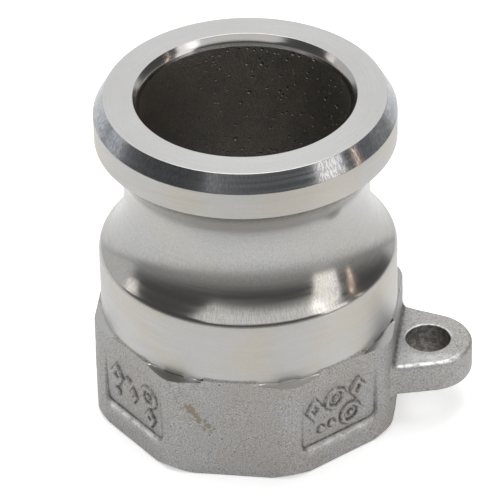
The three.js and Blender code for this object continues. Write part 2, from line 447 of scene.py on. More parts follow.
def cast_shoulder_share(angle):
    """1 over the middle of each flat, where the shoulder is as cast, and 0 over the corners."""
    side_angle = 2 * math.pi / SIDES
    from_middle = np.abs((angle + side_angle / 2) % side_angle - side_angle / 2)
    return smooth((CAST_SHOULDER_ANGLE - from_middle) / CAST_SHOULDER_FADE + 0.5)


def add_base(skin):
    """Base face edge, trimmed foot, sides and shoulder. Rings lie closer where the surface turns."""
    places, normals = base_columns()
    reach = np.hypot(places[:, 0], places[:, 1])
    face_reach = np.minimum(BASE_FACE_RADIUS, reach - BASE_EDGE_BREAK)
    crease = reach - face_reach
    face_edge = places * (face_reach / reach)[:, None]
    for share in (0.985, 1):
        skin.add(np.column_stack([face_edge * share, 0 * reach]), "cut_thread")

    panel_start = PANEL_FOOT - 2 * PANEL_WALL
    panel_end = PANEL_FOOT + PANEL_HEIGHT + 2 * PANEL_WALL
    for share in (0, 0.1, 0.4, 0.7):
        heights = crease + (panel_start - crease) * share
        skin.add(base_ring(places, normals, heights), "cut_thread" if share == 0 else "blasted_cast")
    for height in np.arange(panel_start, panel_end, FINE_STEP):
        skin.add(base_ring(places, normals, height), "blasted_cast")

    top = base_ring(places, normals, BASE_HEIGHT)
    top_angle = np.arctan2(top[:, 1], top[:, 0])
    around = np.column_stack([np.cos(top_angle), np.sin(top_angle)])
    cast_share = cast_shoulder_share(top_angle)
    fillet = CORNER_FILLET_RADIUS + (SHOULDER_FILLET_RADIUS - CORNER_FILLET_RADIUS) * cast_share
    finish = ["blasted_cast" if share > 0.5 else "shoulder_cut" for share in cast_share]
    outer = shoulder_distance(np.hypot(top[:, 0], top[:, 1]), fillet)
    top_height = shoulder_at(outer, fillet)[1]
    for share in (0.4, 0.8, 0.95, 1):
        heights = panel_end + (top_height - panel_end) * share
        side = base_ring(places, normals, heights)
        side[:, :2] = side[:, :2] * (1 - share) + top[:, :2] * share
        skin.add(side, "blasted_cast")
    for share in (0.95, 0.8, 0.6, 0.4, 0.25, 0.15, 0.07, 0):
        radius, height = shoulder_at(outer * share, fillet)
        skin.add(np.column_stack([radius[:, None] * around, height]), finish)
    wall_height = np.full(len(places), BASE_HEIGHT + SHOULDER_FILLET_RADIUS + COLLAR_RINGS[0])
    skin.add(np.column_stack([HEAD_RADIUS * around, wall_height]), "satin_turned")


# Turned outside and waterway

def turned_sections():
    """Stretches of the profile, with their finish, from the collar's foot up, over the sealing
    face and down the waterway."""
    chamfer_foot = LENGTH - CHAMFER_HEIGHT
    groove_top = chamfer_foot - HEAD_BAND_HEIGHT
    half_angle = math.asin(CAM_GROOVE_WIDTH / 2 / CAM_GROOVE_RADIUS)
    groove_centre = (HEAD_RADIUS + CAM_GROOVE_RADIUS * math.cos(half_angle),
                     GROOVE_FOOT + CAM_GROOVE_WIDTH / 2)
    land_edge = (HEAD_RADIUS - CHAMFER_WIDTH, LENGTH)
    lip = (MOUTH_LIP_RADIUS, LENGTH - MOUTH_CONE_HEIGHT)
    bore_foot = SEAT_HEIGHT + SEAT_TAPER_HEIGHT
    thread_foot = ENTRY_RADIUS - THREAD_MINOR_RADIUS
    collar_foot = BASE_HEIGHT + SHOULDER_FILLET_RADIUS + COLLAR_RINGS[1]
    return [
        ("satin_turned", line((HEAD_RADIUS, collar_foot), (HEAD_RADIUS, GROOVE_FOOT), 4)),
        ("groove_turned", arc(groove_centre, CAM_GROOVE_RADIUS,
                              math.pi + half_angle, math.pi - half_angle, 40)),
        ("satin_turned", line((HEAD_RADIUS, groove_top), (HEAD_RADIUS, chamfer_foot), 3)),
        ("chamfer_turned", line((HEAD_RADIUS, chamfer_foot), land_edge, 3)),
        ("faced", line(land_edge, (MOUTH_OPENING_RADIUS, LENGTH), 3)),
        ("mouth_turned", line((MOUTH_OPENING_RADIUS, LENGTH), lip, 3)),
        ("mouth_turned", line(lip, (BORE_RADIUS, MOUTH_FOOT), 3)),
        ("raw_cast", line((BORE_RADIUS, MOUTH_FOOT), (BORE_RADIUS, bore_foot), 38)),
        ("raw_cast", line((BORE_RADIUS, bore_foot), (SEAT_INNER_RADIUS, SEAT_HEIGHT), 5)),
        ("cut_thread", line((SEAT_INNER_RADIUS, SEAT_HEIGHT), (RELIEF_RADIUS, SEAT_HEIGHT), 2)),
        ("cut_thread", line((RELIEF_RADIUS, SEAT_HEIGHT), (RELIEF_RADIUS, THREAD_LENGTH), 2)),
        ("cut_thread", line((RELIEF_RADIUS, THREAD_LENGTH), (THREAD_MINOR_RADIUS, THREAD_LENGTH), 1)),
        ("cut_thread", line((THREAD_MINOR_RADIUS, THREAD_LENGTH), (THREAD_MINOR_RADIUS, thread_foot), 1)),
        ("cut_thread", line((THREAD_MINOR_RADIUS, thread_foot), (ENTRY_RADIUS, 0), 1)),
    ]


def worn_profile(sections):
    """(radius, height, finish) of the whole profile, with a small curve and two holding points in
    place of every sharp corner above the seat."""
    profile = [(*sections[0][1][0], sections[0][0])]
    for finish, points in sections:
        profile.extend((*point, finish) for point in points[1:])
    result = [profile[0]]
    for before, corner, after in zip(profile, profile[1:], profile[2:]):
        here = np.array(corner[:2])
        back = np.array(before[:2]) - here
        ahead = np.array(after[:2]) - here
        back_length = np.linalg.norm(back)
        ahead_length = np.linalg.norm(ahead)
        turn = math.pi - math.acos(np.clip(back @ ahead / back_length / ahead_length, -1, 1))
        if turn < SMALLEST_WORN_TURN or corner[1] <= SEAT_HEIGHT:
            result.append(corner)
            continue
        reach = GROOVE_FOOT_WORN_EDGE if corner[1] <= GROOVE_FOOT else WORN_EDGE
        back *= reach / back_length
        ahead *= reach / ahead_length
        result.append((*(here + HOLDING_REACH * back), corner[2]))
        for share in np.linspace(0, 1, WORN_CORNER_STEPS + 1):
            place = here + back * (1 - share) ** 2 + ahead * share ** 2
            result.append((*place, corner[2] if share < 0.5 else after[2]))
        result.append((*(here + HOLDING_REACH * ahead), after[2]))
    result.append(profile[-1])
    return result


def bore_stretch(ring, radius, height):
    """What the radius of each point of a ring of the cast bore is multiplied by."""
    from_ends = (MOUTH_FOOT - height) / BORE_FADE_AT_MOUTH, (height - SEAT_HEIGHT) / BORE_FADE_AT_SEAT
    fade = float(smooth(from_ends[0]) * smooth(from_ends[1]))
    return 1 + BORE_LUMPS * fade * (lumps(ring, BORE_LUMP_SIZE, 3) - 0.2) / radius


def add_turned(skin):
    """The whole turned outside and the waterway, as far as the edge of the base face."""
    start = np.arctan2(skin.rings[-1][0, 1], skin.rings[-1][0, 0])
    angles = start + np.arange(TURNED_COLUMNS) * 2 * math.pi / TURNED_COLUMNS
    for radius, height, finish in worn_profile(turned_sections()):
        ring = np.column_stack([radius * np.cos(angles), radius * np.sin(angles),
                                np.full(TURNED_COLUMNS, height)])
        if finish == "raw_cast":
            ring[:, :2] *= bore_stretch(ring, radius, height)[:, None]
        skin.add(ring, finish)


# The screw that cuts the thread

def thread_screw():
    """A stack of helical lines, four to a pitch. Column 0 holds one more turn of them, because a
    line that has gone once round arrives there as the line one pitch above."""
    flank = (THREAD_MAJOR_RADIUS - THREAD_MINOR_RADIUS) * math.tan(THREAD_FLANK_ANGLE)
    crest = THREAD_PITCH / 2 - flank
    pattern = (
        (THREAD_MAJOR_RADIUS, 0),
        (THREAD_MAJOR_RADIUS, crest),
        (THREAD_MINOR_RADIUS - THREAD_CLEARANCE, crest + flank),
        (THREAD_MINOR_RADIUS - THREAD_CLEARANCE, 2 * crest + flank),
    )
    lines = len(pattern)
    start = -THREAD_PITCH - SCREW_OVERRUN
    turns = math.floor((THREAD_LENGTH - start) / THREAD_PITCH)
    top = turns * lines
    points, firsts = [], []
    for column in range(THREAD_COLUMNS):
        firsts.append(len(points))
        share = column / THREAD_COLUMNS
        x, y = direction(2 * math.pi * share)
        for index in range((top + lines if column == 0 else top) + 1):
            radius, rise = pattern[index % lines]
            height = start + (index // lines + share) * THREAD_PITCH + rise
            points.append((radius * x, radius * y, height))

    def at(column, index):
        """Number of the point on a line; the column after the last is column 0, one turn up."""
        return firsts[column] + index if column < THREAD_COLUMNS else index + lines

    bottom = len(points)
    points.append((0, 0, start))
    points.append((0, 0, start + (turns + 1) * THREAD_PITCH))
    faces = []
    for column in range(THREAD_COLUMNS):
        for index in range(top):
            faces.append((at(column, index), at(column + 1, index),
                          at(column + 1, index + 1), at(column, index + 1)))
        faces.append((bottom, at(column + 1, 0), at(column, 0)))
        faces.append((bottom + 1, at(column, top), at(column + 1, top)))
    for index in range(lines):
        faces.append((bottom, at(0, index), at(0, index + 1)))
        faces.append((bottom + 1, at(0, top + index + 1), at(0, top + index)))
    finish = [FINISHES.index("cut_thread")] * len(faces)
    return to_object("thread_screw", points, faces, finish)


# Tether lug

def lug_outline():
    """Plan of the lug, anticlockwise, at even spacing: a round nose that tapers to a flared root."""
    nose_x = LUG_REACH - LUG_NOSE_RADIUS
    to_root = math.hypot(nose_x - APOTHEM, LUG_ROOT_HALF_WIDTH)
    tangent = (math.atan2(LUG_ROOT_HALF_WIDTH, APOTHEM - nose_x)
               - math.acos(LUG_NOSE_RADIUS / to_root))
    flare = np.array([APOTHEM + LUG_ROOT_FLARE,
                      LUG_ROOT_HALF_WIDTH - LUG_ROOT_FLARE / math.tan(tangent)])
    root = np.array([APOTHEM, LUG_ROOT_HALF_WIDTH])
    end = np.array([APOTHEM - LUG_ROOT_FLARE / 2, LUG_ROOT_HALF_WIDTH + LUG_ROOT_FLARE])
    nose_angles = np.linspace(0, tangent, LUG_NOSE_STEPS)
    half = [np.array([nose_x, 0]) + LUG_NOSE_RADIUS * direction(a) for a in nose_angles]
    for share in np.linspace(0, 1, LUG_FLARE_STEPS):
        half.append(flare * (1 - share) ** 2 + root * 2 * share * (1 - share) + end * share ** 2)
    half.append(np.array([APOTHEM - LUG_BURIED, end[1]]))
    half.append(np.array([APOTHEM - LUG_BURIED, 0]))
    half = np.array(half)
    mirrored = half[::-1] * (1, -1)
    path = np.vstack([half, mirrored[1:]])
    lengths = np.append(0, np.cumsum(np.hypot(*np.diff(path, axis=0).T)))
    even = np.linspace(0, lengths[-1], LUG_COLUMNS, endpoint=False)
    return np.column_stack([np.interp(even, lengths, path[:, 0]), np.interp(even, lengths, path[:, 1])])


def lug_rings(outline, hole_centre):
    """Rings that run round the outline and the hole: down the side, in under the lug, up through the
    hole and out over its top."""
    ahead = np.roll(outline, -1, axis=0) - np.roll(outline, 1, axis=0)
    ahead /= np.hypot(*ahead.T)[:, None]
    inward = np.column_stack([-ahead[:, 1], ahead[:, 0]])
    from_hole = outline - hole_centre
    outward = from_hole / np.hypot(*from_hole.T)[:, None]

    def side_ring(inset, height):
        return np.column_stack([outline + inward * inset, np.full(LUG_COLUMNS, height)])

    def hole_ring(radius, height):
        return np.column_stack([hole_centre + outward * radius, np.full(LUG_COLUMNS, height)])

    def between(start, end):
        return [start + (end - start) * i / LUG_FACE_STEPS for i in range(1, LUG_FACE_STEPS)]

    edge, hole_edge = LUG_EDGE_RADIUS, LUG_HOLE_EDGE_RADIUS
    middle = (LUG_TOP + LUG_UNDERSIDE) / 2
    rim = LUG_HOLE_RADIUS + hole_edge
    up, back, down = math.pi / 2, math.pi, 1.5 * math.pi
    lower_side = line((0, middle), (0, LUG_UNDERSIDE + edge), LUG_SIDE_STEPS)[:-1]
    lower_side += arc((edge, LUG_UNDERSIDE + edge), edge, back, down, LUG_CORNER_STEPS)
    hole = arc((rim, LUG_UNDERSIDE + hole_edge), hole_edge, down, back, LUG_CORNER_STEPS)
    hole += line(hole[-1], (LUG_HOLE_RADIUS, LUG_TOP - hole_edge), LUG_HOLE_STEPS)[1:-1]
    hole += arc((rim, LUG_TOP - hole_edge), hole_edge, back, up, LUG_CORNER_STEPS)
    upper_side = arc((edge, LUG_TOP - edge), edge, up, back, LUG_CORNER_STEPS)
    upper_side += line(upper_side[-1], (0, middle), LUG_SIDE_STEPS - 1)[1:-1]

    lower = [side_ring(*point) for point in lower_side]
    inner = [hole_ring(*point) for point in hole]
    upper = [side_ring(*point) for point in upper_side]
    return lower + between(lower[-1], inner[0]) + inner + between(inner[-1], upper[0]) + upper


def roughen_lug(ring, hole_centre):
    """Flare a ring of the lug into the flat it grows from, and give it a casting's unevenness."""
    middle = (LUG_TOP + LUG_UNDERSIDE) / 2
    from_flat = np.clip(LUG_ROOT_FILLET - (ring[:, 0] - APOTHEM), 0, LUG_ROOT_FILLET)
    rise = LUG_ROOT_FILLET - np.sqrt(LUG_ROOT_FILLET ** 2 - from_flat ** 2)
    level = (ring[:, 2] - middle) / (LUG_TOP - middle)
    ring[:, 2] += rise * np.sign(level) * smooth((np.abs(level) - 0.5) * 2)
    broad = lumps(ring, CAST_LUMP_SIZE, 4)
    fine = lumps(ring, LUG_FINE_LUMP_SIZE, 5)
    uneven = LUG_LUMPS * (broad + 0.4 * fine - 1.0)
    from_hole = ring[:, :2] - hole_centre
    distance = np.hypot(*from_hole.T)[:, None]
    wall = distance < LUG_HOLE_RADIUS + 0.1
    side_share = (1 - np.abs(level) ** 4)[:, None]
    uneven_out = np.where(wall, -0.5 * uneven[:, None], uneven[:, None] * side_share)
    ring[:, :2] += from_hole / distance * uneven_out
    ring[:, 2] += uneven * level ** 3


def lug():
    """The tether lug as a closed solid that reaches a little into the base. Its rings are listed from
    the side inwards, and the skin takes them the other way round, so that it faces outwards."""
    hole_centre = np.array([LUG_REACH - LUG_NOSE_RADIUS, 0])
    skin = RingSkin()
    for ring in reversed(lug_rings(lug_outline(), hole_centre)):
        roughen_lug(ring, hole_centre)
        skin.add(ring, "blasted_cast")
    return skin.build("lug_blank")


# Joining

def combine(piece, other, operation):
    """Boolean of two closed meshes. The other one is used up."""
    modifier = piece.modifiers.new("join", "BOOLEAN")
    modifier.operation = operation
    modifier.solver = "MANIFOLD"
    modifier.material_mode = "INDEX"
    modifier.object = other
    bpy.context.view_layer.update()
    graph = bpy.context.evaluated_depsgraph_get()
    mesh = bpy.data.meshes.new_from_object(piece.evaluated_get(graph), depsgraph=graph)
    piece.modifiers.clear()
    piece.data = mesh
    bpy.data.objects.remove(other)


def adapter_casting():
    """The whole casting: base, turned end and waterway as one skin, the lug joined to it and the
    thread cut out of it."""
    skin = RingSkin()
    add_base(skin)
    add_turned(skin)
    piece = skin.build("adapter_casting")
    combine(piece, lug(), "UNION")
    combine(piece, thread_screw(), "DIFFERENCE")
    mesh = piece.data
    mesh.shade_smooth()
    mesh.set_sharp_from_angle(angle=SHARP_ANGLE)
    add_surface_marks(mesh)
    return piece


def near(distance, reach):
    """1 at no distance, falling like a bell curve, with the given reach."""
    return np.exp(-(distance / reach) ** 2)


def panel_painted_light_and_wear(places, angle, shift, marks):
    """Painted shade with dirt, and painted highlight with polish, of one panel at each place."""
    along = places[:, :2] @ direction(angle + math.pi / 2) - shift
    up = places[:, 2] - PANEL_FOOT
    below = APOTHEM - places[:, :2] @ direction(angle)
    inside = (below < 2) & (up > 0.2) & (up < PANEL_HEIGHT)
    # Painted shade and dirt along the feet of the panel's walls and of its raised marks.
    wall = near(np.abs(panel_edge_distance(along, up) + PANEL_WALL), SHADE_AND_GRIME_REACH)
    wall = wall * (1 - 0.75 * np.clip(up / PANEL_HEIGHT, 0, 1))
    mark = near(np.abs(mark_distance(along, up, marks) - MARK_WALL / 2), SHADE_AND_GRIME_REACH)
    shade_and_grime = np.maximum(wall, mark) * smooth((below - 0.05) / 0.2) * inside
    # Painted highlight with polish on the crest of the burr.
    return shade_and_grime, burr_share(along, up) * (np.abs(below) < 1)


def lug_painted_light_and_wear(places):
    """Painted shade with dirt, and painted highlight with polish, of the lug at each place."""
    height = places[:, 2]
    out = places[:, 0] - APOTHEM
    from_hole = np.hypot(places[:, 0] - LUG_REACH + LUG_NOSE_RADIUS, places[:, 1])
    # Painted shade and dirt on the wall of the hole and above the lug's root.
    hole = smooth((LUG_HOLE_RADIUS + 0.2 - from_hole) / 0.2)
    root = near(np.maximum(out - 0.2, 0), 0.5) * (out > -0.6)
    root = root * smooth((LUG_ROOT_HALF_WIDTH - np.abs(places[:, 1])) / 1.5)
    root = root * smooth((height - LUG_TOP + 1.5) / 1.5) * np.exp(-np.maximum(height - LUG_TOP, 0) / 2.2)
    # Painted highlight with polish along the lug's front top edge and on the back of its hole's rim.
    drop = (LUG_TOP - height) / LUG_EDGE_RADIUS
    front_edge = near(drop - 0.3, 0.25) * smooth((-places[:, 1] - 3) / 3) * (out > 0.8)
    front_edge = front_edge * (from_hole > LUG_HOLE_RADIUS + 1)
    rim = near(from_hole - LUG_HOLE_RADIUS - 0.2, 0.2) * smooth(1 - np.abs(drop) / 0.4)
    highlight_and_polish = np.maximum(front_edge, rim * smooth(places[:, 1] / 2))
    return LUG_SHADE_AND_GRIME * np.maximum(hole, root), highlight_and_polish


def add_surface_marks(mesh):
    """Two point attributes. The first is 1 where painted shade and dirt darken the casting: along the
    feet of the panels' walls and of the raised marks, on the wall of the lug's hole and above the
    lug's root. The second is 1 where a painted highlight and polish from handling brighten it: the
    panels' burrs, the lug's front edge and its hole's rim."""
    places = np.empty(len(mesh.vertices) * 3)
    mesh.vertices.foreach_get("co", places)
    places = places.reshape(-1, 3) / MM - (AXIS_X, 0, 0)
    painted_light_and_wear = [lug_painted_light_and_wear(places)] + [panel_painted_light_and_wear(places, *panel) for panel in PANELS]
    for name, values in zip(("shade_and_grime", "highlight_and_polish"), zip(*painted_light_and_wear)):
        attribute = mesh.attributes.new(name, "FLOAT", "POINT")
        attribute.data.foreach_set("value", np.max(values, axis=0).astype(np.float32))


# Materials

def colour_value(colour):
    """Four numbers for a colour socket, from three. A socket passes through."""
    return (*colour, 1.0) if isinstance(colour, tuple) else colour


class Nodes:
    """Short ways to make and join shader nodes in one tree. An input is a value or another node's
    output."""

    def __init__(self, tree):
        self.tree = tree

    def node(self, kind, inputs=None, **settings):
        node = self.tree.nodes.new("ShaderNode" + kind)
        for key, value in settings.items():
            setattr(node, key, value)
        for key, value in (inputs or {}).items():
            self.feed(node.inputs[key], value)
        return node

    def feed(self, socket, value):
        if isinstance(value, bpy.types.NodeSocket):
            self.tree.links.new(value, socket)
        else:
            socket.default_value = value

    def math(self, operation, first, second=0.0, clamp=False):
        node = self.node("Math", {0: first, 1: second}, operation=operation, use_clamp=clamp)
        return node.outputs[0]

    def vector(self, operation, first, second=(0, 0, 0), scale=1.0):
        node = self.node("VectorMath", {0: first, 1: second, 3: scale}, operation=operation)
        return node.outputs["Value" if operation in ("DOT_PRODUCT", "LENGTH", "DISTANCE") else "Vector"]

    def span(self, value, low, high, to_low=0.0, to_high=1.0):
        """value carried smoothly from low..high to to_low..to_high."""
        node = self.node("MapRange", {"Value": value, "From Min": low, "From Max": high,
                                      "To Min": to_low, "To Max": to_high},
                         interpolation_type="SMOOTHSTEP")
        return node.outputs["Result"]

    def mix(self, share, first, second):
        """The first value where share is 0, the second where it is 1."""
        node = self.node("Mix", {"Factor": share, "A": first, "B": second}, data_type="FLOAT")
        return node.outputs["Result"]

    def blend(self, share, first, second):
        """The first colour where share is 0, the second where it is 1."""
        node = self.node("MixRGB", {"Fac": share, "Color1": colour_value(first),
                                    "Color2": colour_value(second)})
        return node.outputs["Color"]


class Shader(Nodes):
    """A Principled material fed by procedural nodes. Patterns are placed in millimetres."""

    def __init__(self, name):
        self.material = bpy.data.materials.new(name)
        self.material.use_nodes = True
        super().__init__(self.material.node_tree)
        self.surface = self.tree.nodes["Principled BSDF"]
        place = self.node("TexCoord").outputs["Object"]
        from_axis = self.vector("SUBTRACT", place, (AXIS_X * MM, 0, 0))
        self.place = self.vector("SCALE", from_axis, scale=1 / MM)

    def noise(self, size, detail=2.0, vector=None):
        """Noise from 0 to 1 with features about size across."""
        node = self.node("TexNoise", {"Vector": vector or self.place, "Scale": 1 / size, "Detail": detail})
        return node.outputs["Fac"]

    def spots(self, spacing, radius, share):
        """1 inside round spots on a random share of cells, 0 outside them."""
        cells = self.node("TexVoronoi", {"Vector": self.place, "Scale": 1 / spacing})
        red = self.node("SeparateColor", {0: cells.outputs["Color"]}).outputs[0]
        inside = self.span(cells.outputs["Distance"], radius / spacing, 0.4 * radius / spacing)
        return self.math("MULTIPLY", inside, self.math("LESS_THAN", red, share))

    def bump(self, height, depth):
        """Bump whose height input of 1 stands depth millimetres proud."""
        node = self.node("Bump", {"Height": height, "Distance": depth * MM, "Strength": 1.0})
        return node.outputs["Normal"]

    def finish(self, colour, roughness, normal, metallic=1.0):
        self.feed(self.surface.inputs["Base Color"], colour_value(colour))
        self.feed(self.surface.inputs["Roughness"], roughness)
        self.feed(self.surface.inputs["Metallic"], metallic)
        self.feed(self.surface.inputs["Normal"], normal)
        return self.material


def turning(shader, line_width, line_length):
    """Fine noise lines that run round the axis, on walls, cones and faces alike, and the direction
    they run in."""
    parts = shader.node("SeparateXYZ", {0: shader.place})
    flat = shader.node("CombineXYZ", {"X": parts.outputs["X"], "Y": parts.outputs["Y"]}).outputs[0]
    radius = shader.vector("LENGTH", flat)
    across = shader.math("ADD", shader.math("MULTIPLY", parts.outputs["Z"], 1.7), radius)
    around = shader.vector("SCALE", shader.vector("NORMALIZE", flat), scale=HEAD_RADIUS / line_length)
    climb = shader.node("CombineXYZ", {"Z": shader.math("DIVIDE", across, line_width)}).outputs[0]
    lines = shader.noise(1.0, 3.0, vector=shader.vector("ADD", around, climb))
    tangent = shader.vector("NORMALIZE", shader.vector("CROSS_PRODUCT", (0, 0, 1), flat))
    return lines, tangent


def turned_steel(name, colour, warm_colour, roughness, line_depth, anisotropy, chatter=0.0):
    """Steel off the lathe: lines round the axis, a slight straw tint in places, a few scuffs, and
    where the tool chattered, short marks across the lines."""
    shader = Shader(name)
    lines, tangent = turning(shader, 0.16, 9)
    broad_lines = turning(shader, 0.7, 30)[0]
    speckle = shader.noise(0.3, 3.0)
    tint = shader.span(shader.noise(9, 2.0), 0.38, 0.62)
    scuffs = shader.spots(6.5, 0.3, 0.1)
    scuffs = shader.math("MULTIPLY", scuffs, shader.noise(0.25))
    base = shader.blend(tint, colour, warm_colour)
    base = shader.blend(shader.span(speckle, 0.3, 0.7, 0, 0.1), base, (0.3, 0.3, 0.3))
    base = shader.blend(shader.span(lines, 0.35, 0.7, 0, 0.13), base, (0.35, 0.345, 0.335))
    base = shader.blend(scuffs, base, (0.2, 0.19, 0.175))
    wander = shader.span(broad_lines, 0.3, 0.7, -0.03, 0.03)
    rough = shader.math("ADD", shader.math("ADD", roughness, wander),
                        shader.span(lines, 0.3, 0.7, -0.03, 0.03))
    relief = shader.math("SUBTRACT", lines, scuffs)
    if chatter:
        marks = turning(shader, 0.8, 0.22)[0]
        relief = shader.math("ADD", relief, shader.math("MULTIPLY", marks, chatter))
        base = shader.blend(shader.span(marks, 0.4, 0.6, 0, 0.55 * chatter), base, (0.16, 0.175, 0.2))
        rough = shader.math("ADD", rough, shader.span(marks, 0.35, 0.65, -0.03, 0.06 * chatter))
    shader.feed(shader.surface.inputs["Anisotropic"], anisotropy)
    shader.feed(shader.surface.inputs["Anisotropic Rotation"], 0.25)
    shader.feed(shader.surface.inputs["Tangent"], tangent)
    return shader.finish(base, rough, shader.bump(relief, line_depth))


def blasted_cast():
    """Investment casting after bead blasting: fine grain, pits, painted shade and dirt in the panels'
    corners, the lug's hole and along its root, painted highlights with polish on worn edges, and a
    straw coloured stain on the plain front flat."""
    shader = Shader("blasted_cast")
    grain = shader.noise(0.24, 4.0)
    mottle = shader.noise(0.6, 2.0)
    tint = shader.span(shader.noise(11, 2.0), 0.38, 0.62)
    pits = shader.spots(2.2, 0.2, 0.3)
    big_pits = shader.spots(6.0, 0.34, 0.25)
    pits = shader.math("MAXIMUM", pits, big_pits)
    specks = shader.spots(0.6, 0.26, 0.3)
    base = shader.blend(tint, (0.47, 0.467, 0.465), (0.46, 0.44, 0.415))
    base = shader.blend(shader.span(grain, 0.5, 0.68, 0, 0.6), base, (0.2, 0.195, 0.19))
    base = shader.blend(shader.span(grain, 0.48, 0.3, 0, 0.5), base, (0.75, 0.74, 0.72))
    base = shader.blend(shader.span(mottle, 0.4, 0.7, 0, 0.12), base, (0.62, 0.61, 0.59))
    base = shader.blend(shader.math("MULTIPLY", specks, 0.3), base, (0.14, 0.135, 0.13))
    base = shader.blend(stain(shader), base, (0.24, 0.19, 0.09))
    base = shader.blend(shader.math("MULTIPLY", pits, 0.75), base, (0.08, 0.07, 0.06))
    # Painted shade and dirt: darker and browner at the feet of the panels' walls and marks, in the lug's
    # hole and along its root.
    shade_and_grime = shader.node("Attribute", attribute_name="shade_and_grime").outputs["Fac"]
    shade_and_grime = shader.math("MULTIPLY", shade_and_grime, shader.span(shader.noise(0.9), 0.35, 0.6, 0.45, 0.95))
    base = shader.blend(shade_and_grime, base, (0.07, 0.055, 0.043))
    # Painted highlight and polish: paler and smoother on the panels' burrs, the lug's front edge and its
    # hole's rim.
    highlight_and_polish = shader.node("Attribute", attribute_name="highlight_and_polish").outputs["Fac"]
    highlight_and_polish = shader.math("MULTIPLY", highlight_and_polish, shader.span(shader.noise(0.8), 0.35, 0.5, 0.25, 1))
    base = shader.blend(highlight_and_polish, base, (0.85, 0.845, 0.84))
    rough = shader.span(grain, 0.3, 0.7, 0.46, 0.6)
    rough = shader.math("SUBTRACT", rough, shader.math("MULTIPLY", highlight_and_polish, 0.2))
    skin = shader.math("ADD", grain, mottle)
    heights = shader.math("SUBTRACT", skin, shader.math("MULTIPLY", pits, 2.5))
    return shader.finish(base, rough, shader.bump(heights, 0.07))


def stain(shader):
    """A slanting smear on the front flat, blurred and broken up."""
    start = (-7.4, -APOTHEM, 14.7)
    end = (-3.6, -APOTHEM, 10.2)
    along = tuple(b - a for a, b in zip(start, end))
    length_squared = sum(step * step for step in along)
    from_start = shader.vector("SUBTRACT", shader.place, start)
    reached = shader.vector("DOT_PRODUCT", from_start, along)
    share = shader.math("DIVIDE", reached, length_squared, clamp=True)
    nearest = shader.vector("SCALE", along, scale=share)
    away = shader.vector("DISTANCE", from_start, nearest)
    ragged = shader.math("ADD", away, shader.span(shader.noise(0.9, 3.0), 0.3, 0.7, -0.7, 0.7))
    return shader.span(ragged, 1.0, 0.1, 0, 0.6)


def raw_cast():
    """Unfinished cast bore: dark scale, a rough skin and open pits."""
    shader = Shader("raw_cast")
    skin = shader.noise(0.3, 4.0)
    patches = shader.noise(5, 2.0)
    rough_side = shader.span(shader.vector("DOT_PRODUCT", shader.place, (0.9, 0.44, 0)), -4, 12)
    pits = shader.math("MAXIMUM", shader.spots(1.2, 0.34, 0.6), shader.spots(2.9, 0.55, 0.5))
    pits = shader.math("MULTIPLY", pits, shader.math("ADD", rough_side, 0.15))
    base = shader.blend(shader.span(patches, 0.35, 0.65), (0.29, 0.272, 0.242), (0.33, 0.303, 0.268))
    base = shader.blend(shader.span(skin, 0.4, 0.7, 0, 0.5), base, (0.17, 0.155, 0.135))
    base = shader.blend(shader.math("MULTIPLY", pits, 0.55), base, (0.04, 0.037, 0.033))
    heights = shader.math("SUBTRACT", skin, shader.math("MULTIPLY", pits, 2.2))
    return shader.finish(base, shader.span(skin, 0.3, 0.7, 0.38, 0.55), shader.bump(heights, 0.22))


def steel_materials():
    """The materials named in FINISHES."""
    blasted_cast()
    raw_cast()
    turned_steel("satin_turned", (0.63, 0.622, 0.605), (0.635, 0.605, 0.545), 0.35, 0.002, 0.78)
    turned_steel("groove_turned", (0.53, 0.525, 0.512), (0.54, 0.52, 0.48), 0.18, 0.002, 0.4, 0.3)
    turned_steel("chamfer_turned", (0.53, 0.555, 0.59), (0.55, 0.55, 0.545), 0.16, 0.002, 0.3, 1.0)
    turned_steel("mouth_turned", (0.5, 0.495, 0.49), (0.52, 0.495, 0.465), 0.15, 0.002, 0.3)
    turned_steel("faced", (0.68, 0.675, 0.665), (0.67, 0.66, 0.64), 0.34, 0.001, 0.2)
    turned_steel("shoulder_cut", (0.5, 0.495, 0.485), (0.5, 0.48, 0.455), 0.18, 0.01, 0.3)
    turned_steel("cut_thread", (0.5, 0.495, 0.485), (0.5, 0.48, 0.455), 0.33, 0.006, 0.3)


# Studio

VIEW_AZIMUTH = 8.2
VIEW_ELEVATION = 35.5
VIEW_DISTANCE = 786.4
VIEW_ROLL = -1.25
VIEW_PIVOT = (AXIS_X, 0, 26)
VIEW_AIM = (AXIS_X + 0.3, 0, 30.4)
LENS = 315.3
LIGHTS_AIM = (AXIS_X, 0, 30)

# Floor. In reflections its brightness fades from one distance to the other, down to a share: a painted
# pool of light round the piece.
FLOOR_RADIUS = 3000
FLOOR_SIDES = 64
FLOOR_GAP = 0.02
FLOOR_LEVEL = 0.88
FLOOR_LEVEL_IN_REFLECTIONS = 0.82
FLOOR_GLOW = 0.45
FLOOR_GLOW_IN_REFLECTIONS = 0.15
FLOOR_FADE_DISTANCES = 130, 560
FLOOR_FADE_SHARE = 0.46

# The bright part of the room: the azimuth of its middle, how far it reaches to either side, and how
# far its edge fades to either side of that.
BRIGHT_ROOM_AZIMUTH = -167
BRIGHT_ROOM_HALF_ANGLE = 66
BRIGHT_ROOM_EDGE = 6
ROOM_TINT = (0.98, 0.99, 1.0)

# Elevation and brightness.
DIM_ROOM_LEVELS = ((0, 0.42), (8, 0.2), (15, 0.1), (90, 0.1))
BRIGHT_ROOM_LEVELS = ((0, 0.75), (12, 0.75), (35, 0.85), (90, 0.85))


